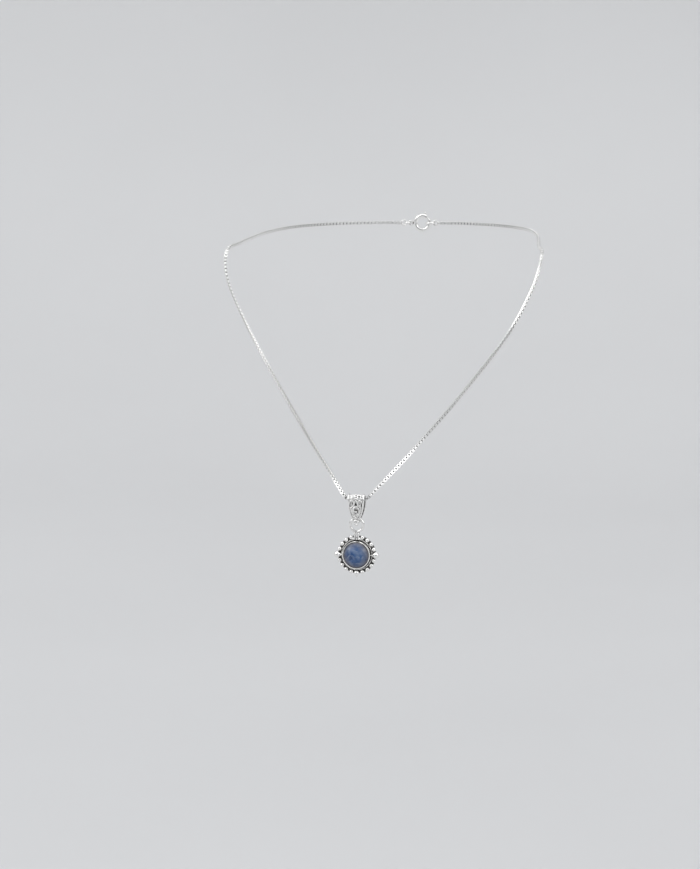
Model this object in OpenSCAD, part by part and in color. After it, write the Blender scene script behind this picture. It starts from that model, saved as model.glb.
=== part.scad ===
// Pendant necklace: a box chain, a round bezel-set cabochon with a ring of granules,
// a tapered openwork bail, and a spring ring clasp at the nape.
// Millimetres. The front faces -Y and +Z is up. The origin is the middle of the neck loop,
// level with the shoulders.

/* [Chain] */
// Width of the box chain
chain_d = 1.1; // [1.0:0.05:1.2]

/* [Stone and bezel] */
// Diameter of the stone at its girdle
stone_d = 8.14; // [8.0:0.02:8.16]
// How far the dome rises above the girdle
dome_h = 2.1; // [1.6:0.1:2.4]
// Outer diameter of the bezel wall
bezel_d = 8.7; // [8.6:0.05:8.8]
// Height of the bezel wall above the back plate
bezel_h = 1.95; // [1.9:0.05:2.0]

/* [Granules] */
// Diameter of a small granule
granule_d = 1.34; // [1.2:0.02:1.36]
// Diameter of the large granules at the left and the right
cardinal_d = 2.1; // [1.9:0.02:2.12]
// Diameter of the large granule at the bottom
bottom_d = 1.76; // [1.6:0.02:1.76]
// Radius of the circle of small granules
granule_ring_r = 5.6; // [5.58:0.01:5.66]
// How far the large granules at the sides stand from the centre
cardinal_ring_r = 6.05; // [6.0:0.01:6.08]
// How far the bottom granule stands from the centre
bottom_ring_r = 5.68; // [5.68:0.01:5.76]

/* [Drop ring and bail] */
// Radius of the drop ring to the middle of its wire
ring_r = 2.04; // [2.0:0.01:2.1]
// Thickness of the drop ring wire
ring_wire_d = 0.98; // [0.8:0.02:0.98]
// Half of the width of the bail at its top
bail_half_w = 2.62; // [2.5:0.02:2.7]
// Wall of the bail
bail_wall = 0.5; // [0.4:0.05:0.55]

/* [Clasp] */
// Radius of the clasp ring to the middle of its tube
clasp_r = 2.4; // [2.38:0.01:2.42]
// Outer radius of the clasp tube
clasp_tube_r = 0.75; // [0.7:0.01:0.76]
// Radius of the spring bolt
bolt_r = 0.38; // [0.34:0.01:0.4]

/* [Hidden] */
$fn = 96;
silver = [0.83, 0.83, 0.81];
oxide = [0.42, 0.42, 0.42];
blue = [0.40, 0.50, 0.70];

// Chain axis inside the bail: everything on the pendant is placed from here.
vertex = [0, -50, -74];
top_r = 1.72;
eye_r = 1.3;
eye_drop = 5.7;
// Slope of the flat front of the bail, from the tangent of its two rounds.
slope = (top_r - eye_r) / eye_drop;
tilt = asin(slope);
ring_drop = eye_drop + ring_r;
frame_drop = 16.9;
// The frame is set forward a little so that the drop hangs upright.
frame_y = -0.1;
plate_front = frame_y + 0.7;
plate_back = plate_front + 0.6;
girdle_back = plate_front - 1.0;
girdle_front = girdle_back - 0.7;
// The dome starts a hair inside the girdle.
dome_r = (pow(stone_d / 2 - 0.02, 2) + dome_h * dome_h) / (2 * dome_h);

// Right half of the chain route, from the bail to the nape.
half_route = [
  [0, -50, -74], [1.9, -50, -74], [3.8, -49.6, -72.9], [6.9, -46.8, -69.4],
  [16.5, -37.5, -58.4], [29.5, -25.3, -42.3], [41.3, -15.5, -25.8], [48.4, -12.5, -12.1],
  [50.6, -9.4, -4.4], [50.6, -4.5, -0.2], [48.7, 2, 1], [47.2, 13, 2.2], [44.8, 27, 3.4],
  [39.5, 42, 4.3], [29, 54.5, 4.8], [14.5, 62.4, 5], [8.5, 63.5, 5], [7.5, 63.5, 5], [6.5, 63.5, 5]
];
half_n = len(half_route);
route = concat(
  [for (i = [half_n - 1:-1:1]) [-half_route[i][0], half_route[i][1], half_route[i][2]]],
  half_route
);

nape_y = 63.5;
nape_z = 5;
clasp_x = 0.95;
end_r = 0.85;
end_wire = 0.25;

// ---- helpers ----

// Puts a drawing in the XZ plane, with its own z running toward -Y.
module face_on() {
  rotate([90, 0, 0]) children();
}

// Extrudes a drawing of the YZ plane evenly both ways along X.
module along_x(h) {
  rotate([90, 0, 90]) linear_extrude(h, center = true) children();
}

// Extrudes a drawing of the XZ plane evenly both ways along Y.
module along_y(h) {
  rotate([90, 0, 0]) linear_extrude(h, center = true) children();
}

// A ring facing front.
module ring_front(r, wire) {
  face_on() rotate_extrude() translate([r, 0]) circle(r = wire, $fn = 48);
}

// A ring lying flat.
module ring_flat(r, wire) {
  rotate_extrude() translate([r, 0]) circle(r = wire, $fn = 48);
}

module in_bail() {
  translate(vertex) children();
}

// Centre of the frame, with y still measured from the chain.
module in_frame() {
  translate(vertex + [0, 0, -frame_drop]) children();
}

module in_clasp() {
  translate([clasp_x, nape_y, nape_z]) children();
}

// A turned part of the frame: a profile of radius and height above the plate.
module turned() {
  translate([0, plate_front, 0]) face_on() rotate_extrude() children();
}

// Catmull-Rom spline through a list of points.
function spline_at(p0, p1, p2, p3, t) =
  0.5 * ((2 * p1) + (p2 - p0) * t + (2 * p0 - 5 * p1 + 4 * p2 - p3) * t * t
  + (3 * p1 - p0 - 3 * p2 + p3) * t * t * t);
function spline(p, n) = concat(
  [
    for (i = [0:len(p) - 2], k = [0:n - 1])
      spline_at(p[max(i - 1, 0)], p[i], p[i + 1], p[min(i + 2, len(p) - 1)], k / n)
  ],
  [p[len(p) - 1]]
);
function unit(v) = v / norm(v);
function tangent(p, i) = unit(p[min(i + 1, len(p) - 1)] - p[max(i - 1, 0)]);
// Sideways direction of the tube at a point, kept away from the tangent.
function side_of(t, up) = unit(cross(t, up));

// Tube along a path: sides is the number of flats, up is a direction that the path never takes.
module tube(path, r, sides, up) {
  n = len(path);
  pts = [
    for (i = [0:n - 1])
      let (t = tangent(path, i), a = side_of(t, up), b = cross(a, t))
        for (k = [0:sides - 1])
          path[i] + r * cos(360 * (k + 0.5) / sides) * a + r * sin(360 * (k + 0.5) / sides) * b
  ];
  walls = [
    for (i = [0:n - 2], k = [0:sides - 1])
      [i * sides + k, (i + 1) * sides + k, (i + 1) * sides + (k + 1) % sides, i * sides + (k + 1) % sides]
  ];
  caps = [
    [for (k = [0:sides - 1]) k],
    [for (k = [sides - 1:-1:0]) (n - 1) * sides + k]
  ];
  polyhedron(points = pts, faces = concat(caps, walls), convexity = 6);
}

// ---- frame ----

module back_plate() {
  color(oxide)
  in_frame()
  turned()
  polygon([[0, -0.6], [5.75, -0.6], [5.9, -0.45], [5.9, 0], [0, 0]]);
}

module bezel_wall() {
  r = bezel_d / 2;
  h = bezel_h;
  color(silver)
  in_frame()
  turned()
  polygon([
    [4.1, 0], [r, 0], [r, h - 0.4], [r - 0.06, h - 0.15], [r - 0.18, h], [r - 0.34, h + 0.02],
    [4.0, h - 0.03], [4.1, 1.7]
  ]);
}

module bearing_ring() {
  color(oxide)
  in_frame()
  turned()
  polygon([[3.4, 0], [4.08, 0], [4.08, 1], [3.4, 1]]);
}

module stone() {
  r = stone_d / 2;
  color(blue)
  in_frame()
  union() {
    turned() polygon([[0, 1], [r, 1], [r, 1.7], [0, 1.7]]);
    intersection() {
      translate([0, girdle_front - dome_h + dome_r, 0]) sphere(r = dome_r);
      turned() polygon([[0, 1.69], [6, 1.69], [6, 6], [0, 6]]);
    }
  }
}

module rope_wire() {
  color(silver)
  in_frame()
  turned()
  translate([4.66, 0.268])
  circle(r = 0.27, $fn = 32);
}

// Places a ball of diameter d on the edge of the plate, with +X pointing outward.
module at_rim(angle, r, d) {
  color(silver)
  in_frame()
  rotate([0, -angle, 0])
  translate([r, plate_front - d / 2 + 0.035, 0])
  children();
}

module small_ball(angle) {
  at_rim(angle, granule_ring_r, granule_d) sphere(d = granule_d);
}

// A large ball with a tail that runs in to the bezel.
module side_ball(angle) {
  tail = cardinal_ring_r - bezel_d / 2 + 0.01;
  at_rim(angle, cardinal_ring_r, cardinal_d)
  union() {
    sphere(d = cardinal_d);
    rotate([0, -90, 0]) translate([0, 0, 0.6]) cylinder(h = tail - 0.6, r1 = 0.86, r2 = 0.16, $fn = 64);
  }
}

module granule_01() { small_ball(72); }
module granule_02() { small_ball(54); }
module granule_03() { small_ball(36); }
module granule_04() { small_ball(18); }
module granule_05() { small_ball(-18); }
module granule_06() { small_ball(-36); }
module granule_07() { small_ball(-54); }
module granule_08() { small_ball(-72); }
module granule_09() { small_ball(-108); }
module granule_10() { small_ball(-126); }
module granule_11() { small_ball(-144); }
module granule_12() { small_ball(-162); }
module granule_13() { small_ball(162); }
module granule_14() { small_ball(144); }
module granule_15() { small_ball(126); }
module granule_16() { small_ball(108); }
module cardinal_right() { side_ball(0); }
module cardinal_left() { side_ball(180); }

// The bottom ball, with a point outward.
module cardinal_bottom() {
  at_rim(-90, bottom_ring_r, bottom_d)
  union() {
    rotate([0, 0, 180]) sphere(d = bottom_d);
    rotate([0, 90, 0]) translate([0, 0, 0.55]) cylinder(h = 0.7, r1 = 0.56, r2 = 0.08, $fn = 64);
  }
}

// Short fluted block that joins the drop ring to the top edge of the frame.
module drop_neck() {
  low = -frame_drop + 5;
  color(silver)
  in_bail()
  difference() {
    union() {
      translate([-0.86, -0.6, low]) cube([1.72, 0.6 + plate_front, -10.12 - low]);
      for (x = [-0.57, 0, 0.57])
        translate([x, -0.6, low]) cylinder(h = -10.12 - low, r = 0.29, $fn = 48);
      translate([0, -0.3, -10.12 - 0.5]) cube([1.9, 0.5, 0.3], center = true);
    }
    translate([0, 0, -ring_drop]) ring_front(ring_r, ring_wire_d / 2 - 0.008);
  }
}

module drop_ring() {
  color(silver)
  in_bail()
  translate([0, 0, -ring_drop])
  ring_front(ring_r, ring_wire_d / 2);
}

// ---- bail ----

// Side view of the bail strip: a large round at the top, a small one at the foot, joined by flats.
module strip_side(grow) {
  a = top_r + grow;
  b = eye_r + grow;
  circle(r = a);
  translate([0, -eye_drop]) circle(r = b);
  polygon([
    [-a * cos(tilt), -a * slope], [-b * cos(tilt), -eye_drop - b * slope],
    [b * cos(tilt), -eye_drop - b * slope], [a * cos(tilt), -a * slope]
  ]);
}

// Front outline of the bail, drawn inward by inset.
module outline(inset) {
  w = bail_half_w - inset;
  side = [
    [w, 1.95], [w - 0.02, 0.9], [w - 0.06, 0], [w - 0.17, -1.2], [w - 0.33, -2.4],
    [w - 0.62, -3.6], [w - 0.96, -4.6], [w - 1.38, -5.6], [w - 1.7, -6.2], [w - 1.82, -6.7],
    [w - 1.85, -7.3]
  ];
  n = len(side);
  polygon(concat(side, [for (i = [n - 1:-1:0]) [-side[i][0], side[i][1]]]));
}

// Openings of the front, on one side of the middle.
module front_openings() {
  polygon([[1.95, -0.6], [1.6, -0.5], [1.5, -1.0], [1.52, -1.9], [1.85, -1.95], [1.98, -1.2]]);
  polygon([[1.3, -0.35], [0.95, -0.45], [0.95, -1.1], [1.2, -1.3]]);
  polygon([[0.95, -4.6], [0.4, -5.05], [0.55, -5.45], [0.8, -5.2]]);
  translate([1.05, 1.0]) circle(r = 0.36, $fn = 32);
}

module bail_shell() {
  color(silver)
  in_bail()
  difference() {
    intersection() {
      along_x(8) strip_side(0);
      along_y(8) outline(0);
    }
    along_x(9) strip_side(-bail_wall);
    translate([0, -4, 0]) along_y(8) front_openings();
    mirror([1, 0, 0]) translate([0, -4, 0]) along_y(8) front_openings();
    translate([0, -4, 0]) along_y(8) polygon([[0, -0.3], [0.42, -1.5], [-0.42, -1.5]]);
    translate([0, -4, 0]) along_y(8) translate([0, -3.2]) circle(r = 0.75, $fn = 48);
  }
}

// Raised rim along one edge of the front.
module rail() {
  intersection() {
    difference() {
      along_x(8) strip_side(0.24);
      along_x(9) strip_side(0);
    }
    translate([2, -2, -2.45]) cube([4, 4, 6.3], center = true);
    difference() {
      along_y(8) outline(-0.02);
      along_y(9) outline(0.42);
    }
  }
}

module bail_rail_right() {
  color(silver) in_bail() rail();
}

module bail_rail_left() {
  color(silver) in_bail() mirror([1, 0, 0]) rail();
}

// Places a part on the flat front of the bail at height z, with -Y pointing out of it.
module on_front(z) {
  translate([0, -top_r / cos(tilt) - z * tan(tilt), z]) rotate([tilt, 0, 0]) children();
}

// Half-round wire bent to an arc, lying on the front.
module arc_wire(r, wire, start, sweep) {
  intersection() {
    face_on() rotate_extrude(angle = sweep, start = start) translate([r, 0]) circle(r = wire, $fn = 32);
    translate([0, -2, 0]) cube([8, 4, 8], center = true);
  }
}

// Small curl on the shoulder of the bail.
module curl() {
  intersection() {
    rotate([-24, 0, 0]) translate([1.5, -1.62, 0]) ring_front(0.42, 0.2);
    difference() {
      along_x(8) strip_side(1);
      along_x(9) strip_side(0);
    }
  }
}

module bail_curl_right() {
  color(silver) in_bail() curl();
}

module bail_curl_left() {
  color(silver) in_bail() mirror([1, 0, 0]) curl();
}

// C scroll round the middle of the front.
module bail_scroll() {
  color(silver)
  in_bail()
  on_front(-3.2)
  union() {
    arc_wire(1.0, 0.24, 100, 300);
    translate([0.1, 0, 0.52]) arc_wire(0.5, 0.2, 20, 150);
  }
}

// Two slanting wires that meet at the tip.
module bail_web() {
  color(silver)
  in_bail()
  on_front(-5)
  intersection() {
    union() {
      translate([0.36, 0, 0.1]) rotate([0, 34, 0]) cylinder(h = 2, r = 0.2, center = true, $fn = 32);
      translate([-0.36, 0, 0.1]) rotate([0, -34, 0]) cylinder(h = 2, r = 0.2, center = true, $fn = 32);
    }
    translate([0, -1, -0.02]) cube([3, 2, 1.2], center = true);
  }
}

// Seat of the middle granule, filling the hole inside the scroll.
module bail_rosette() {
  color(oxide)
  in_bail()
  on_front(-3.2)
  translate([0, 0.26, 0])
  face_on()
  cylinder(h = 0.3, r = 0.74, center = true, $fn = 48);
}

module bail_granule() {
  color(silver)
  in_bail()
  on_front(-3.2)
  translate([0.12, -0.22, -0.22])
  sphere(r = 0.36);
}

// Small ring that ends the tip.
module bail_circlet() {
  color(silver)
  in_bail()
  translate([0, -1.47, -6.83])
  ring_front(0.675, 0.275);
}

// ---- chain and clasp ----

module chain() {
  color(silver)
  tube(spline(route, 2), chain_d / 2 / cos(22.5), 8, [0.05, 0.8, -1]);
}

module end_link_left() {
  color(silver)
  translate([-5.41, nape_y, nape_z])
  ring_front(end_r, end_wire);
}

module end_link_right() {
  color(silver)
  translate([5.41, nape_y, nape_z])
  ring_front(end_r, end_wire);
}

module link_ring() {
  color(silver)
  translate([-4.19, nape_y, nape_z])
  ring_flat(0.93, end_wire);
}

module catch_ring() {
  color(silver)
  translate([3.7, nape_y, nape_z])
  ring_flat(1.5, 0.32);
}

// Part of a tube bent round the clasp, from one angle over a sweep.
module clasp_arc(r, start, sweep) {
  face_on()
  rotate_extrude(angle = sweep, start = start)
  translate([clasp_r, 0])
  circle(r = r, $fn = 48);
}

module clasp_body() {
  color(silver)
  in_clasp()
  difference() {
    clasp_arc(clasp_tube_r, 60, 320);
    clasp_arc(0.45, 50, 118);
    clasp_arc(0.45, 8, 20);
    face_on()
      rotate_extrude(angle = 62, start = 67)
      translate([clasp_r + 0.5, 0])
      square([1, 0.44], center = true);
  }
}

module clasp_eye() {
  color(silver)
  translate([-3.12, nape_y, nape_z])
  ring_front(0.7, end_wire);
}

module clasp_bolt() {
  color(silver)
  in_clasp()
  union() {
    clasp_arc(bolt_r, 14, 86);
    rotate([0, -75, 0]) translate([clasp_r, 0, 0]) rotate([0, 90, 0]) cylinder(h = 1.1, r = 0.18, $fn = 32);
    rotate([0, -75, 0]) translate([clasp_r + 1.25, 0, 0]) sphere(r = 0.34);
  }
}

module clasp_spring() {
  turns = 5;
  steps = 60;
  path = [
    for (i = [0:steps])
      let (a = 101.9 + 59.4 * i / steps, b = 360 * turns * i / steps, r = clasp_r + 0.28 * cos(b))
        [r * cos(a), 0.28 * sin(b), r * sin(a)]
  ];
  color(silver)
  in_clasp()
  tube(path, 0.07, 6, [0.31, 0.02, 0.95]);
}

module clasp_stop() {
  color(silver)
  in_clasp()
  clasp_arc(0.44, 163.2, 4.8);
}

back_plate();
bezel_wall();
bearing_ring();
stone();
rope_wire();
granule_01();
granule_02();
granule_03();
granule_04();
granule_05();
granule_06();
granule_07();
granule_08();
granule_09();
granule_10();
granule_11();
granule_12();
granule_13();
granule_14();
granule_15();
granule_16();
cardinal_right();
cardinal_bottom();
cardinal_left();
drop_neck();
drop_ring();
bail_shell();
bail_rail_left();
bail_rail_right();
bail_curl_left();
bail_curl_right();
bail_scroll();
bail_web();
bail_rosette();
bail_granule();
bail_circlet();
chain();
end_link_left();
end_link_right();
link_ring();
catch_ring();
clasp_body();
clasp_eye();
clasp_bolt();
clasp_spring();
clasp_stop();
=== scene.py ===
"""Pendant necklace: the looks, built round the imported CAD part.

Metres. The front faces -Y and +Z is up, as in the CAD part. Sizes below are in millimetres and are
turned into metres where a mesh is made.
"""

import math

import bpy
import numpy as np
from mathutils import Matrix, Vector


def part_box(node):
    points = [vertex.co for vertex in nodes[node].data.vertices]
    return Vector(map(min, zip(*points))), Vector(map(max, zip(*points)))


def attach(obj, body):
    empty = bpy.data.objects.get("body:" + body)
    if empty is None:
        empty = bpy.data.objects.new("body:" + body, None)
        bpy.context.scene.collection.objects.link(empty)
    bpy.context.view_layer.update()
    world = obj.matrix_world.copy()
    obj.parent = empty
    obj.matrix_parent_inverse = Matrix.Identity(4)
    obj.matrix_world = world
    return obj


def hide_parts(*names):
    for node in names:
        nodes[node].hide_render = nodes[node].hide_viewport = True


MM = 0.001
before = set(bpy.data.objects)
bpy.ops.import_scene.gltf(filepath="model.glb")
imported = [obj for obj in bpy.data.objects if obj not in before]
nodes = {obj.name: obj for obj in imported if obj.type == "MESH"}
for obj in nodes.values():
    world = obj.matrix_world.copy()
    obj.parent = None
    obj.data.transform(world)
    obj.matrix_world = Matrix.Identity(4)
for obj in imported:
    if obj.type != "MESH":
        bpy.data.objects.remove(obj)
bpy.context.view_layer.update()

# ---- sizes, in millimetres ----

VERTEX = np.array([0.0, -50.0, -74.0])  # chain axis inside the bail
NECK_MIDDLE_Y = 8  # middle of the neck that the chain goes round
CHAIN_D = 1.1
CORD_STEP = 2.0  # between the points of the cord's path
LINK_PITCH = 0.625
LINK_LENGTH = 1.02
LINK_WALL = 0.2
LINK_STRIP = 0.62  # width of the strip that each link is folded from
FINE_STEP = 0.05  # between the points of a smooth wire

TOP_R = 1.72  # outside of the bail where it goes over the chain
EYE_R = 1.3  # outside of the bail where the drop ring goes through it
EYE_DROP = 5.7  # from the chain down to the drop ring's wire
TILT = math.asin((TOP_R - EYE_R) / EYE_DROP)  # lean of the bail's front and back
OVER = TOP_R * (math.pi + 2 * TILT)  # length of strip that goes over the chain
BAIL_WIRE_SCALE = 1.3  # makes every wire on the bail thicker or finer
STONE_RIM_R = 3.97  # where the stone has turned to its rim colour

# One edge of the bail's front: (across, along the strip) points from the tip up to the top.
BAIL_OUTLINE = [
    (0.86, -6.7), (0.98, -6.1), (1.28, -5.5), (1.66, -4.5),
    (2.0, -3.5), (2.28, -2.3), (2.43, -1.1), (2.5, 0),
]

# Right half of the chain route, from the bail to the nape, as in the CAD part.
HALF_ROUTE = [
    (0, -50, -74), (1.9, -50, -74), (3.8, -49.6, -72.9), (6.9, -46.8, -69.4),
    (16.5, -37.5, -58.4), (29.5, -25.3, -42.3), (41.3, -15.5, -25.8), (48.4, -12.5, -12.1),
    (50.6, -9.4, -4.4), (50.6, -4.5, -0.2), (48.7, 2, 1), (47.2, 13, 2.2), (44.8, 27, 3.4),
    (39.5, 42, 4.3), (29, 54.5, 4.8), (14.5, 62.4, 5), (8.5, 63.5, 5), (7.5, 63.5, 5),
    (6.5, 63.5, 5),
]
ROUTE = [(-x, y, z) for x, y, z in HALF_ROUTE[:0:-1]] + HALF_ROUTE


# ---- mesh helpers ----


def make_object(name, verts, faces, smooth=True):
    """A mesh object from points in millimetres."""
    mesh = bpy.data.meshes.new(name)
    mesh.from_pydata((np.asarray(verts) * MM).tolist(), [], [tuple(f) for f in faces])
    mesh.update()
    if smooth:
        mesh.shade_smooth()
    obj = bpy.data.objects.new(name, mesh)
    bpy.context.scene.collection.objects.link(obj)
    return obj


def merge(pieces):
    """Joins (verts, faces) pairs into one pair."""
    verts, faces, start = [], [], 0
    for v, f in pieces:
        verts.append(np.asarray(v, float))
        faces.extend([tuple(i + start for i in face) for face in f])
        start += len(v)
    return np.concatenate(verts), faces


def spline(points, steps):
    """Catmull-Rom curve through the points."""
    p = np.array(points, float)
    p = np.vstack([p[:1], p, p[-1:]])
    t = np.linspace(0, 1, steps, endpoint=False)[:, None]
    runs = [
        0.5 * (2 * b + (c - a) * t + (2 * a - 5 * b + 4 * c - d) * t**2 + (3 * b - a - 3 * c + d) * t**3)
        for a, b, c, d in zip(p, p[1:], p[2:], p[3:])
    ]
    return np.vstack(runs + [p[-1:]])


def resample(path, count=None, step=None):
    """Evenly spaced points along a path, with the path's length."""
    s = np.concatenate([[0], np.cumsum(np.linalg.norm(np.diff(path, axis=0), axis=1))])
    count = count or int(round(s[-1] / step)) + 1
    at = np.linspace(0, s[-1], count)
    return np.stack([np.interp(at, s, path[:, k]) for k in range(3)], 1), s[-1]


def unit(v):
    return v / np.linalg.norm(v, axis=-1, keepdims=True)


def box_mm(node):
    """A node's lowest and highest corners, in millimetres."""
    lo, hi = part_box(node)
    return np.array(lo) / MM, np.array(hi) / MM


def tube_faces(count, sides, closed=False):
    """Quads between rings of points. Closed joins the last ring to the first."""
    faces = []
    for ring in range(count if closed else count - 1):
        here, there = ring * sides, (ring + 1) % count * sides
        for k in range(sides):
            after = (k + 1) % sides
            faces.append((here + k, there + k, there + after, here + after))
    return faces


def round_ends(path, radius, tangent, facing):
    """Adds three shrinking rings before and after an open wire."""
    share = np.array([0.05, 0.45, 0.8])
    beyond = (1 - share)[:, None] * 0.9
    shrink = share**0.5
    path = np.vstack([
        path[0] - tangent[0] * radius[0] * beyond,
        path,
        path[-1] + tangent[-1] * radius[-1] * beyond[::-1],
    ])
    radius = np.concatenate([radius[0] * shrink, radius, radius[-1] * shrink[::-1]])
    tangent = np.vstack([[tangent[0]] * 3, tangent, [tangent[-1]] * 3])
    facing = np.vstack([[facing[0]] * 3, facing, [facing[-1]] * 3])
    return path, radius, tangent, facing


def sweep(path, radius, sides=12, closed=False, flat=1.0, facing=(0, -1, 0)):
    """A wire along a path.

    The radius is one number or one for each point, and flat scales it in the direction of facing.
    """
    path = np.asarray(path, float)
    radius = np.broadcast_to(radius, len(path))
    facing = np.broadcast_to(np.asarray(facing, float), path.shape)
    if closed:
        tangent = unit(np.roll(path, -1, 0) - np.roll(path, 1, 0))
    else:
        tangent = unit(np.gradient(path, axis=0))
        path, radius, tangent, facing = round_ends(path, radius, tangent, facing)
    normal = unit(facing - (facing * tangent).sum(1, keepdims=True) * tangent)
    side = np.cross(tangent, normal)
    angles = np.linspace(0, 2 * math.pi, sides, endpoint=False)
    verts = np.concatenate([
        q + r * (np.outer(np.cos(angles), s) + flat * np.outer(np.sin(angles), n))
        for q, r, s, n in zip(path, radius, side, normal)
    ])
    count = len(path)
    faces = tube_faces(count, sides, closed)
    if not closed:
        faces += [tuple(range(sides)), tuple(range((count - 1) * sides, count * sides))[::-1]]
    return verts, faces


def revolve(profile, centre, axis, sides=48):
    """A solid turned from (along, radius) pairs about an axis through the centre."""
    axis = unit(np.asarray(axis, float))
    side = unit(np.cross(axis, [0, 1, 0] if abs(axis[1]) < 0.9 else [1, 0, 0]))
    other = np.cross(axis, side)
    angles = np.linspace(0, 2 * math.pi, sides, endpoint=False)
    outward = np.outer(np.cos(angles), side) + np.outer(np.sin(angles), other)
    verts = np.concatenate([centre + a * axis + r * outward for a, r in profile])
    n = len(profile)
    faces = [(a, d, c, b) for a, b, c, d in tube_faces(n, sides)]
    faces += [tuple(range(sides))[::-1], tuple(range((n - 1) * sides, n * sides))]
    return verts, faces


def smooth_path(points, step=FINE_STEP):
    """A smooth curve through a few points, in even steps."""
    path, _ = resample(spline(points, 16), step=step)
    return path


# ---- chain ----


def rounded_loop(half_length, half_width, radius):
    """Points of a rounded rectangle, anticlockwise."""
    steps = 3
    out = []
    for k, (sx, sy) in enumerate(((1, 1), (-1, 1), (-1, -1), (1, -1))):
        for i in range(steps + 1):
            angle = math.radians(90 * (k + i / steps))
            x = sx * (half_length - radius) + radius * math.cos(angle)
            y = sy * (half_width - radius) + radius * math.sin(angle)
            out.append((x, y))
    return np.array(out)


def link_shape():
    """One box link: a folded strip. Columns are along the chain, across, and along the strip's width."""
    ease, edge, corner = 0.05, 0.07, 0.2
    half_length, half_width, half_strip = LINK_LENGTH / 2, CHAIN_D / 2, LINK_STRIP / 2
    outer = rounded_loop(half_length, half_width, corner)
    eased = rounded_loop(half_length - ease, half_width - ease, corner - ease)
    inner = rounded_loop(half_length - LINK_WALL, half_width - LINK_WALL, 0.06)
    rings = [
        (outer, edge - half_strip),
        (outer, half_strip - edge),
        (eased, half_strip),
        (inner, half_strip),
        (inner, -half_strip),
        (eased, -half_strip),
    ]
    verts = np.array([(*loop[i], across) for i in range(len(outer)) for loop, across in rings])
    return verts, tube_faces(len(outer), len(rings), closed=True)


def chain():
    """The whole chain as one piece. Every other link is turned a quarter."""
    fine, _ = resample(spline(ROUTE, 24), step=FINE_STEP)
    path, length = resample(fine, step=CORD_STEP)
    count = int(length / LINK_PITCH)
    centres, _ = resample(fine, count=2 * count + 1)
    centres = centres[1::2]
    tangent = unit(np.gradient(centres, axis=0))
    outward = centres * [1, 1, 0] - [0, NECK_MIDDLE_Y, 0]
    normal = unit(outward - (outward * tangent).sum(1, keepdims=True) * tangent)
    side = np.cross(tangent, normal)
    shape, faces = link_shape()
    links = []
    for k in range(count):
        across, wide = (normal[k], side[k]) if k % 2 else (side[k], -normal[k])
        links.append((centres[k] + shape @ np.array([tangent[k], across, wide]), faces))
    obj = make_object("box_chain", *merge(links), smooth=False)
    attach(obj, "necklace")
    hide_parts("chain")
    return obj


# ---- bail ----


def on_bail(u, v, proud=0.0):
    """A point on the outside of the bail and the way it faces there.

    u runs across, and v along the strip: from the tip up the front to 0, then over the top and down the back.
    """
    angle = TILT - min(max(v, 0), OVER) / TOP_R
    outward = np.array([0, -math.cos(angle), -math.sin(angle)])
    inward = math.sin(TILT) * (1 if v < 0 else -1)
    straight = max(-v, v - OVER, 0)
    down = np.array([0, inward, -math.cos(TILT)])
    return VERTEX + [u, 0, 0] + outward * (TOP_R + proud) + straight * down, outward


def bail_wire(points, radius, proud=0.05, closed=False):
    """A wire laid on the bail through (u, v) points. An open one thins toward both ends."""
    flat = smooth_path([(u, v, 0) for u, v in points])
    if closed:
        flat = flat[:-1]
    placed = [on_bail(u, v, proud) for u, v, _ in flat]
    radius = radius * BAIL_WIRE_SCALE
    taper = 1.0
    if not closed:
        along = np.linspace(0, 1, len(flat))
        taper = 1 - 0.35 * np.abs(2 * along - 1) ** 3
    path = [place for place, _ in placed]
    facing = [outward for _, outward in placed]
    return sweep(path, radius * taper, closed=closed, flat=0.9, facing=facing)


def arc_points(centre, radius, start, end, count, shrink=1.0):
    """Points of an arc or, with shrink, of a spiral. Angles in degrees."""
    at = np.linspace(0, 1, count)
    radii = radius * (1 + (shrink - 1) * at)
    angles = np.radians(start + (end - start) * at)
    return [(centre[0] + r * math.cos(a), centre[1] + r * math.sin(a)) for r, a in zip(radii, angles)]


def ball(u, v, radius, proud):
    """A small ball sunk in the bail."""
    centre, outward = on_bail(u, v, proud)
    turn = np.linspace(0.08, math.pi - 0.08, 14)
    return revolve([(-radius * math.cos(t), radius * math.sin(t)) for t in turn], centre, outward, 20)


def bail_piece(name, wires, *replaced):
    obj = make_object(name, *merge(wires))
    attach(obj, "bail")
    if replaced:
        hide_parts(*replaced)
    return obj


def bail_edge(side):
    """The round wire along one edge of the strip: up the front, over the top and down the back."""
    inset = 0.17
    front = [(side * (u - inset), v) for u, v in BAIL_OUTLINE]
    top = [(side * 2.35, OVER * t) for t in (0.25, 0.5, 0.75)]
    back = [(u, OVER - v) for u, v in front[::-1]]
    name = "left" if side < 0 else "right"
    return bail_piece("bail_edge_" + name, [bail_wire(front + top + back, 0.19)], "bail_rail_" + name)


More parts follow.
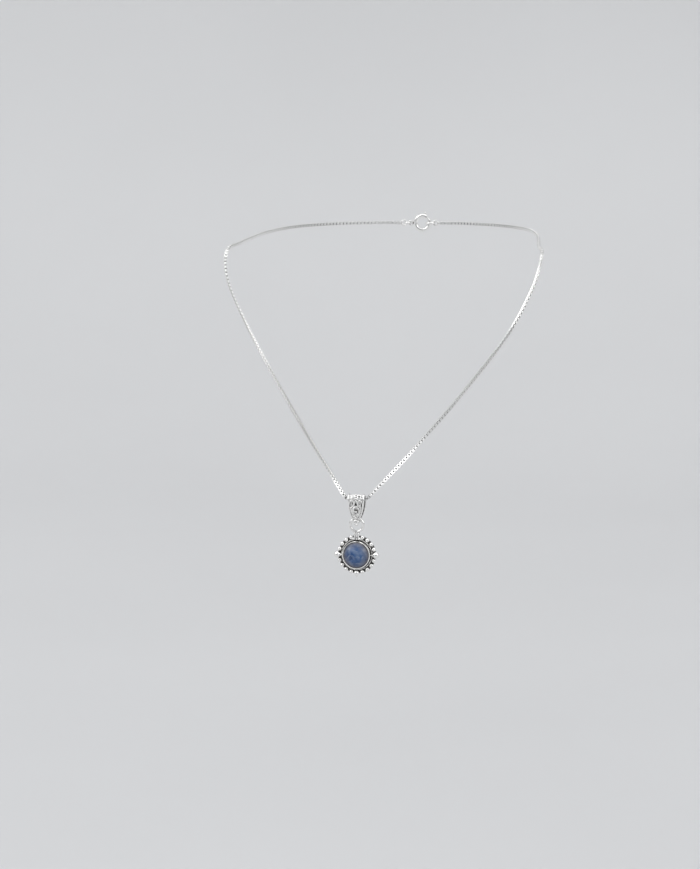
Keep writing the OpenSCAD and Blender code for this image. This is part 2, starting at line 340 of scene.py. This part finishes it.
def bail_crown():
    """The row of loops over the top of the bail, with a small dome in one of them."""
    loops = [
        (-1.86, 1.2, 0.42), (-0.95, 1.42, 0.48), (0, 1.75, 0.4), (0.95, 1.42, 0.48), (1.86, 1.2, 0.42),
    ]
    lower = [
        (-2.2, 0.62), (-1.42, 0.5), (-0.9, 0.66), (-0.46, 0.48), (0, 0.66),
        (0.46, 0.48), (0.9, 0.66), (1.42, 0.5), (2.2, 0.62),
    ]
    upper = [(-2.2, 1.95), (-1.3, 2.05), (0, 2.35), (1.3, 2.05), (2.2, 1.95)]
    wires = [
        bail_wire(arc_points((u, v), r, -90, 270, 18), 0.15, 0.12, closed=True) for u, v, r in loops
    ]
    wires += [ball(u, 0.72, 0.23, 0.08) for u in (-1.42, -0.46, 0.46, 1.42)]
    wires.append(ball(-0.95, 1.42, 0.34, 0.0))
    wires.append(bail_wire(lower, 0.13))
    wires.append(bail_wire(upper, 0.13, 0.03))
    return bail_piece("bail_crown", wires, "bail_curl_left", "bail_curl_right")


def side_arch(side, middle):
    """One side arch of the arcade, with its hook and its sill."""
    outer, inner = middle + side * 0.68, middle - side * 0.66
    arch = [
        (outer, -1.9), (outer, -0.8), (middle + side * 0.4, -0.02), (middle, 0.24),
        (middle - side * 0.42, 0.02), (inner, -0.6), (inner, -1.5),
    ]
    hook = [
        (middle + side * 0.12, -2.0), (middle + side * 0.06, -1.2), (middle + side * 0.02, -0.75),
        (middle - side * 0.14, -0.5), (middle + side * 0.05, -0.36),
    ]
    sill = [(outer, -1.95), (middle + side * 0.2, -2.05), (inner, -1.62)]
    return [bail_wire(arch, 0.17), bail_wire(hook, 0.13), bail_wire(sill, 0.15)]


def bail_arcade():
    """Three arches under the crown, with a hook inside each side arch."""
    arch = [
        (-0.66, -1.55), (-0.62, -0.75), (-0.38, -0.15), (-0.05, 0.1),
        (0.28, -0.15), (0.52, -0.75), (0.56, -1.55),
    ]
    sill = [(-0.62, -1.5), (-0.05, -1.72), (0.52, -1.5)]
    wires = [bail_wire(arch, 0.17), *side_arch(-1, -1.4), *side_arch(1, 1.32), bail_wire(sill, 0.16)]
    return bail_piece("bail_arcade", wires)


def bail_scrolls():
    """The C scroll round the rosette, and the leaves between it and the rails."""
    middle = (-0.05, -2.95)
    c_scroll = arc_points(middle, 1.06, -35, 262, 26)
    spiral = arc_points((-0.15, -2.95), 0.72, 110, 330, 20, 0.42)
    left_leaf = [(-1.62, -2.15), (-1.42, -2.75), (-1.36, -3.4), (-1.05, -4.0), (-0.5, -4.25)]
    right_leaf = [(1.5, -1.95), (1.36, -2.6), (1.3, -3.3), (1.02, -3.95), (0.5, -4.3)]
    left_edge = [(-1.72, -2.1), (-1.6, -2.9), (-1.45, -3.6)]
    wires = [
        bail_wire(c_scroll, 0.19, 0.08),
        bail_wire(spiral, 0.2, 0.08),
        bail_wire(left_leaf, 0.17),
        bail_wire(right_leaf, 0.18),
        bail_wire(left_edge, 0.12),
    ]
    return bail_piece("bail_scrollwork", wires, "bail_scroll")


def bail_tip():
    """The web of wires between the scroll and the circlet at the tip."""
    left = [(-1.12, -4.1), (-0.62, -4.75), (-0.1, -5.35), (-0.02, -5.9)]
    right = [(1.02, -4.1), (0.58, -4.7), (0.12, -5.3), (0.0, -5.9)]
    across = [(-0.5, -4.3), (0.0, -4.5), (0.5, -4.3)]
    wires = [bail_wire(left, 0.17), bail_wire(right, 0.17), bail_wire(across, 0.15)]
    return bail_piece("bail_tip_web", wires, "bail_web")


# ---- drop ----


def drop_piece(name, piece, *replaced):
    obj = make_object(name, *piece)
    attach(obj, "drop")
    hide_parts(*replaced)
    return obj


def rope():
    """Two wires twisted together round the foot of the bezel."""
    lo, hi = box_mm("rope_wire")
    wire = (hi[1] - lo[1]) / 2
    ring = (hi[0] - lo[0]) / 2 - wire
    middle = (lo + hi) / 2
    strand = wire * 0.54
    turns, steps_per_turn = 34, 12
    angles = np.linspace(0, 2 * math.pi, turns * steps_per_turn, endpoint=False)
    outward = np.stack([np.cos(angles), 0 * angles, np.sin(angles)], 1)
    pieces = []
    for phase in (0, math.pi):
        twist = turns * angles + phase
        turned = np.cos(twist)[:, None] * outward + np.sin(twist)[:, None] * [0, -1, 0]
        offset = (wire - strand) * turned
        pieces.append(sweep(middle + ring * outward + offset, strand, sides=8, closed=True))
    return drop_piece("twisted_wire", merge(pieces), "rope_wire")


def side_drop(node, outward):
    """A ball whose tail runs in to the bezel in one smooth taper."""
    lo, hi = box_mm(node)
    radius = (hi[2] - lo[2]) / 2
    centre = (lo + hi) / 2
    centre[0] = hi[0] - radius if outward > 0 else lo[0] + radius
    length = (hi[0] - lo[0]) - radius
    turn = np.radians(np.linspace(4, 118, 24))
    profile = [(radius * math.cos(t), radius * math.sin(t)) for t in turn]
    start, end = np.array(profile[-1]), np.array([-length, 0.15 * radius])
    leave, arrive = np.array([-math.sin(turn[-1]), math.cos(turn[-1])]), np.array([-1, -0.05])
    reach = np.linalg.norm(end - start) * 1.1
    for t in np.linspace(0, 1, 14)[1:]:  # Hermite curve
        a, b, c, d = 2 * t**3 - 3 * t**2 + 1, t**3 - 2 * t**2 + t, -2 * t**3 + 3 * t**2, t**3 - t**2
        profile.append(tuple(a * start + b * reach * leave + c * end + d * reach * arrive))
    return drop_piece(node + "_teardrop", revolve(profile[::-1], centre, (outward, 0, 0)), node)


def bottom_drop():
    """The bottom ball, drawn out to a blunt point."""
    lo, hi = box_mm("cardinal_bottom")
    radius = (hi[0] - lo[0]) / 2
    centre = (lo + hi) / 2
    centre[2] = hi[2] - radius
    length = centre[2] - lo[2]
    turn = np.radians(np.linspace(176, 52, 26))
    profile = [(radius * math.cos(t), radius * math.sin(t)) for t in turn]
    a, b = profile[-1]
    for t in np.linspace(0, 1, 8)[1:]:
        profile.append((a + (length - a) * t, b * (1 - t) ** 0.8 * (1 - 0.12 * t) + 0.05 * t))
    return drop_piece("bottom_teardrop", revolve(profile, centre, (0, 0, -1)), "cardinal_bottom")


def neck():
    """Three flutes under a collar, with a foot to each side over the rim and a block behind."""
    lo, hi = box_mm("drop_neck")
    top, foot = hi[2] - 0.05, lo[2] - 0.12
    front = lo[1] + 0.35
    pieces = []
    for side in (-1, 0, 1):
        flute = smooth_path(
            [
                (side * 0.50, front, top),
                (side * 0.55, front - 0.12, top - 0.35),
                (side * 0.52, front - 0.1, (top + foot) / 2),
                (side * 0.62, front - 0.12, foot + 0.3),
                (side * 0.85, front - 0.05, foot),
            ],
            0.06,
        )
        width = np.interp(np.linspace(0, 1, len(flute)), [0, 0.2, 0.6, 1], [0.34, 0.29, 0.26, 0.32])
        pieces.append(sweep(flute, width, sides=14))
    for side in (-1, 1):
        leg = [
            (side * 0.45, front + 0.1, foot + 0.55),
            (side * 0.95, front, foot + 0.32),
            (side * 1.42, front + 0.1, foot - 0.05),
        ]
        pieces.append(sweep(smooth_path(leg, 0.06), 0.2))
    collar = [
        (x, front - 0.1 - 0.12 * (1 - (x / 0.85) ** 2), top - 0.32) for x in np.linspace(-0.85, 0.85, 12)
    ]
    pieces.append(sweep(collar, 0.13, sides=10))
    pieces.append(block(lo + [0.12, 0.45, 0.0], hi - [0.12, 0.0, 0.0]))
    return drop_piece("fluted_neck", merge(pieces), "drop_neck")


def block(lo, hi):
    """A block with its upright edges eased."""
    centre = (lo + hi) / 2
    ring = rounded_loop((hi[0] - lo[0]) / 2, (hi[1] - lo[1]) / 2, 0.12)
    n = len(ring)
    verts = [(centre[0] + x, centre[1] + y, z) for z in (lo[2], hi[2]) for x, y in ring]
    faces = [(k, (k + 1) % n, n + (k + 1) % n, n + k) for k in range(n)]
    return np.array(verts), faces + [tuple(range(n))[::-1], tuple(range(n, 2 * n))]


# ---- materials ----


class Nodes:
    """Short way to write a material's node tree."""

    def __init__(self, name):
        self.material = bpy.data.materials.new(name)
        self.material.use_nodes = True
        self.tree = self.material.node_tree
        self.shader = self.tree.nodes["Principled BSDF"]

    def add(self, kind, links=None, **values):
        node = self.tree.nodes.new(kind)
        for key, value in values.items():
            if hasattr(node, key):
                setattr(node, key, value)
            else:
                node.inputs[key.replace("_", " ")].default_value = value
        for key, source in (links or {}).items():
            self.tree.links.new(source, node.inputs[key])
        return node

    def set(self, **values):
        for key, value in values.items():
            self.shader.inputs[key.replace("_", " ")].default_value = value

    def link(self, source, name):
        self.tree.links.new(source, self.shader.inputs[name])

    def ramp(self, source, *stops):
        node = self.add("ShaderNodeValToRGB", {"Fac": source})
        elements = node.color_ramp.elements
        for element, (at, colour) in zip(elements, stops):
            element.position, element.color = at, (*colour, 1)
        for at, colour in stops[2:]:
            elements.new(at).color = (*colour, 1)
        return node.outputs["Color"]

    def noise(self, scale, detail=4, distortion=0.0, vector=None):
        links = {"Vector": vector or self.place()}
        values = {"Scale": scale, "Detail": detail, "Distortion": distortion}
        return self.add("ShaderNodeTexNoise", links, **values).outputs["Fac"]

    def math(self, operation, a, b):
        node = self.add("ShaderNodeMath", operation=operation)
        for socket, value in zip(node.inputs, (a, b)):
            if isinstance(value, (int, float)):
                socket.default_value = value
            else:
                self.tree.links.new(value, socket)
        return node.outputs[0]

    def mix(self, factor, a, b):
        """Mixes two colours. Each is a socket or three numbers."""
        node = self.add("ShaderNodeMix", data_type="RGBA")
        for socket, value in zip((node.inputs[0], node.inputs[6], node.inputs[7]), (factor, a, b)):
            if isinstance(value, tuple):
                socket.default_value = (*value, 1)
            else:
                self.tree.links.new(value, socket)
        return node.outputs[2]

    def place(self):
        if not hasattr(self, "_place"):
            self._place = self.add("ShaderNodeTexCoord").outputs["Object"]
        return self._place


def silver(name, reach, oxide_and_shade, polish=0.14, spread=0.3, brushed=False):
    """Cast silver. It is polished where it stands proud and dark in its recesses and gaps: oxidised silver in
    the hollows, and painted shade where parts crowd each other, both from one occlusion mask.

    Reach is how far the darkening spreads from a recess, in millimetres, the number after it how much
    darkening there is, and spread how softly it fades. Polish is the middle roughness. Brushed silver has
    fine scratches along it.
    """
    n = Nodes(name)
    grain = n.noise(2600, 3)
    # Occlusion mask: dark in recesses and gaps, partly oxidised silver, partly painted shade between crowded
    # parts.
    open_sky = n.add("ShaderNodeAmbientOcclusion", Distance=reach * MM, samples=6).outputs["AO"]
    oxide_shade_and_grain = n.math("ADD", open_sky, n.math("MULTIPLY", n.math("SUBTRACT", grain, 0.5), 0.35))
    shine = 0.74 if brushed else 0.93
    # Colour runs from near-black (oxide and painted shade) through brown-grey to bright silver as the mask
    # opens.
    tone = n.ramp(
        oxide_shade_and_grain,
        (oxide_and_shade, (0.018, 0.017, 0.018)),
        (oxide_and_shade + spread, (shine * 1.01, shine, shine * 0.985)),
        (oxide_and_shade + spread / 2, (0.3, 0.285, 0.275)),
    )
    n.link(tone, "Base Color")
    wear = n.ramp(n.noise(700, 5), (0.35, (polish * 0.6,) * 3), (0.7, (polish * 1.7,) * 3))
    n.link(wear, "Roughness")
    height = n.math("ADD", n.noise(1500, 4), n.math("MULTIPLY", n.noise(420, 2), 2.0))
    if brushed:
        stretch = {"Scale": (0.06, 1, 1), "Rotation": (0, 0.5, 0)}
        lay = n.add("ShaderNodeMapping", {"Vector": n.place()}, **stretch).outputs["Vector"]
        scratches = n.noise(5000, 3, vector=lay)
        height = n.math("ADD", height, n.math("MULTIPLY", scratches, 3.0))
    bump = n.add("ShaderNodeBump", {"Height": height}, Strength=0.35, Distance=0.03 * MM)
    n.link(bump.outputs["Normal"], "Normal")
    n.set(Metallic=1.0)
    return n.material


def spring_steel():
    """Drawn spring wire: grey steel with a fine grain."""
    n = Nodes("spring_steel")
    n.link(n.ramp(n.noise(3000, 4), (0.3, (0.36, 0.37, 0.39)), (0.7, (0.58, 0.59, 0.6))), "Base Color")
    n.link(n.ramp(n.noise(1200, 3), (0.3, (0.2, 0.2, 0.2)), (0.7, (0.4, 0.4, 0.4))), "Roughness")
    bump = n.add("ShaderNodeBump", {"Height": n.noise(5000, 2)}, Strength=0.3, Distance=0.01 * MM)
    n.link(bump.outputs["Normal"], "Normal")
    n.set(Metallic=1.0)
    return n.material


def blue_stone():
    """A blue moonstone: cloudy blue, milky veils, brown-grey toward the rim, and glossy."""
    n = Nodes("blue_stone")
    centre = (np.array(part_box("stone")[0]) + np.array(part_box("stone")[1])) / 2
    from_centre = n.add("ShaderNodeVectorMath", {0: n.place()}, operation="SUBTRACT")
    from_centre.inputs[1].default_value = centre
    flat = n.add("ShaderNodeVectorMath", {0: from_centre.outputs[0]}, operation="MULTIPLY")
    flat.inputs[1].default_value = (1, 0, 1)
    distance = n.add("ShaderNodeVectorMath", {0: flat.outputs[0]}, operation="LENGTH").outputs["Value"]
    edge = n.math("DIVIDE", distance, STONE_RIM_R * MM)
    clouds = n.ramp(
        n.noise(260, 3, 0.3),
        (0.36, (0.016, 0.055, 0.17)),
        (0.68, (0.17, 0.22, 0.33)),
        (0.48, (0.035, 0.1, 0.26)),
        (0.57, (0.085, 0.15, 0.3)),
    )
    veils = n.ramp(n.noise(620, 8, 0.5), (0.5, (0, 0, 0)), (0.75, (0.6, 0.6, 0.6)))
    milky = n.mix(veils, clouds, (0.33, 0.4, 0.5))
    rim = n.ramp(edge, (0.5, (0, 0, 0)), (1.0, (1, 1, 1)), (0.84, (0.5, 0.5, 0.5)))
    earth = n.ramp(n.noise(500, 4), (0.35, (0.075, 0.065, 0.07)), (0.65, (0.15, 0.14, 0.155)))
    n.link(n.mix(rim, milky, earth), "Base Color")
    n.set(Roughness=0.2, IOR=1.5, Coat_Weight=0.25, Coat_Roughness=0.08)
    n.set(Subsurface_Weight=0.25, Subsurface_Scale=0.8 * MM, Subsurface_Radius=(0.5, 0.8, 1.0))
    return n.material


def dress(obj, material):
    obj.data.materials.clear()
    obj.data.materials.append(material)


# ---- stage ----


def stage():
    """A pale floor that curves up into the backdrop. Sizes in metres."""
    floor_z, bend_y, bend_r, reach, height = -0.148, 0.45, 0.4, 8, 3
    bend = [
        (bend_y + bend_r * math.sin(a), floor_z + bend_r - bend_r * math.cos(a))
        for a in np.linspace(0, math.pi / 2, 13)
    ]
    outline = [(-reach, floor_z), *bend, (bend_y + bend_r, height)]
    verts = [(x / MM, y / MM, z / MM) for y, z in outline for x in (-reach, reach)]
    faces = [(2 * i, 2 * i + 1, 2 * i + 3, 2 * i + 2) for i in range(len(outline) - 1)]
    floor = make_object("floor", verts, faces)
    n = Nodes("floor")
    tone = n.ramp(n.noise(6, 3), (0.3, (0.615, 0.615, 0.62)), (0.7, (0.63, 0.63, 0.635)))
    n.link(tone, "Base Color")
    n.set(Roughness=0.45)
    dress(floor, n.material)


def area_light(name, place, target, size, power):
    data = bpy.data.lights.new(name, "AREA")
    data.shape = "RECTANGLE"
    data.size, data.size_y = size
    data.energy = power
    obj = bpy.data.objects.new(name, data)
    obj.location = place
    obj.rotation_euler = (Vector(target) - Vector(place)).to_track_quat("-Z", "Y").to_euler()
    bpy.context.scene.collection.objects.link(obj)


def map_range(tree, value, *spans):
    """A smooth step between two spans, (from low, from high) and (to low, to high)."""
    node = tree.nodes.new("ShaderNodeMapRange")
    node.interpolation_type = "SMOOTHSTEP"
    tree.links.new(value, node.inputs["Value"])
    for name, number in zip(("From Min", "From Max", "To Min", "To Max"), (*spans[0], *spans[1])):
        node.inputs[name].default_value = number
    return node.outputs["Result"]


def multiply(tree, a, b):
    node = tree.nodes.new("ShaderNodeMath")
    node.operation = "MULTIPLY"
    tree.links.new(a, node.inputs[0])
    tree.links.new(b, node.inputs[1])
    return node.outputs[0]


def lights():
    """A tent of light: bright above and to the sides, darker low down, behind and toward the front."""
    world = bpy.data.worlds.new("studio")
    bpy.context.scene.world = world
    world.use_nodes = True
    tree = world.node_tree
    split = tree.nodes.new("ShaderNodeSeparateXYZ")
    tree.links.new(tree.nodes.new("ShaderNodeTexCoord").outputs["Generated"], split.inputs[0])
    front = map_range(tree, split.outputs["Y"], (-0.97, -0.66), (0.28, 1.0))
    height = map_range(tree, split.outputs["Z"], (0.12, 0.4), (0.58, 1.0))
    rear = map_range(tree, split.outputs["Y"], (0.5, 0.95), (1.0, 0.5))
    strength = multiply(tree, multiply(tree, front, rear), height)
    background = tree.nodes["Background"]
    background.inputs["Color"].default_value = (0.96, 0.98, 1, 1)
    tree.links.new(strength, background.inputs["Strength"])
    heart = (0, -0.03, -0.06)
    area_light("key", (-1.7, -1.5, 1.6), heart, (2.0, 1.6), 17)
    area_light("fill", (2.2, -1.1, 1.3), heart, (1.4, 1.3), 9)
    area_light("top", (0.0, 0.4, 2.4), heart, (2.2, 1.6), 12)


def camera():
    """A long lens a little to the right of the front and a little above it."""
    data = bpy.data.cameras.new("camera")
    obj = bpy.data.objects.new("camera", data)
    bpy.context.scene.collection.objects.link(obj)
    bpy.context.scene.camera = obj
    azimuth, elevation = math.radians(11), math.radians(7)
    distance, picture_height = 0.9, 0.265
    target = Vector((-0.00205, -0.0504, -0.0538))
    level = math.cos(elevation)
    back = Vector((math.sin(azimuth) * level, -math.cos(azimuth) * level, math.sin(elevation)))
    obj.location = target + back * distance
    obj.rotation_euler = (-back).to_track_quat("-Z", "Y").to_euler()
    data.sensor_width = 36
    data.lens = data.sensor_width * distance / picture_height
    data.clip_start, data.clip_end = 0.05, 20


# ---- build ----

bpy.context.scene.view_settings.view_transform = "Standard"
camera()
box_chain = chain()

bright = silver("silver", 0.45, 0.36)
# The bail shell is darkened up to 3.5 mm around the wires laid over it: oxide and painted shade.
pierced = silver("pierced_silver", 3.5, 0.4, 0.2, 0.14)
# Back plate and rosette: dark oxidised silver plus painted shade around the bezel, granules and scrolls.
blackened_and_shaded = silver("blackened_and_shaded_silver", 1.0, 0.5, 0.25, brushed=True)
for obj in nodes.values():
    dress(obj, bright)
    obj.data.shade_smooth()
dress(nodes["bail_shell"], pierced)
for name in ("back_plate", "bail_rosette"):
    dress(nodes[name], blackened_and_shaded)
dress(nodes["stone"], blue_stone())
dress(nodes["clasp_spring"], spring_steel())
# The chain's link gaps are darkened by the same mask: oxide and painted shade, so that the links stand apart.
dress(box_chain, silver("chain_silver", 0.4, 0.4))
silver_pieces = [
    bail_edge(-1),
    bail_edge(1),
    bail_crown(),
    bail_arcade(),
    bail_scrolls(),
    bail_tip(),
    rope(),
    side_drop("cardinal_left", -1),
    side_drop("cardinal_right", 1),
    bottom_drop(),
    neck(),
]
for piece in silver_pieces:
    dress(piece, bright)
stage()
lights()
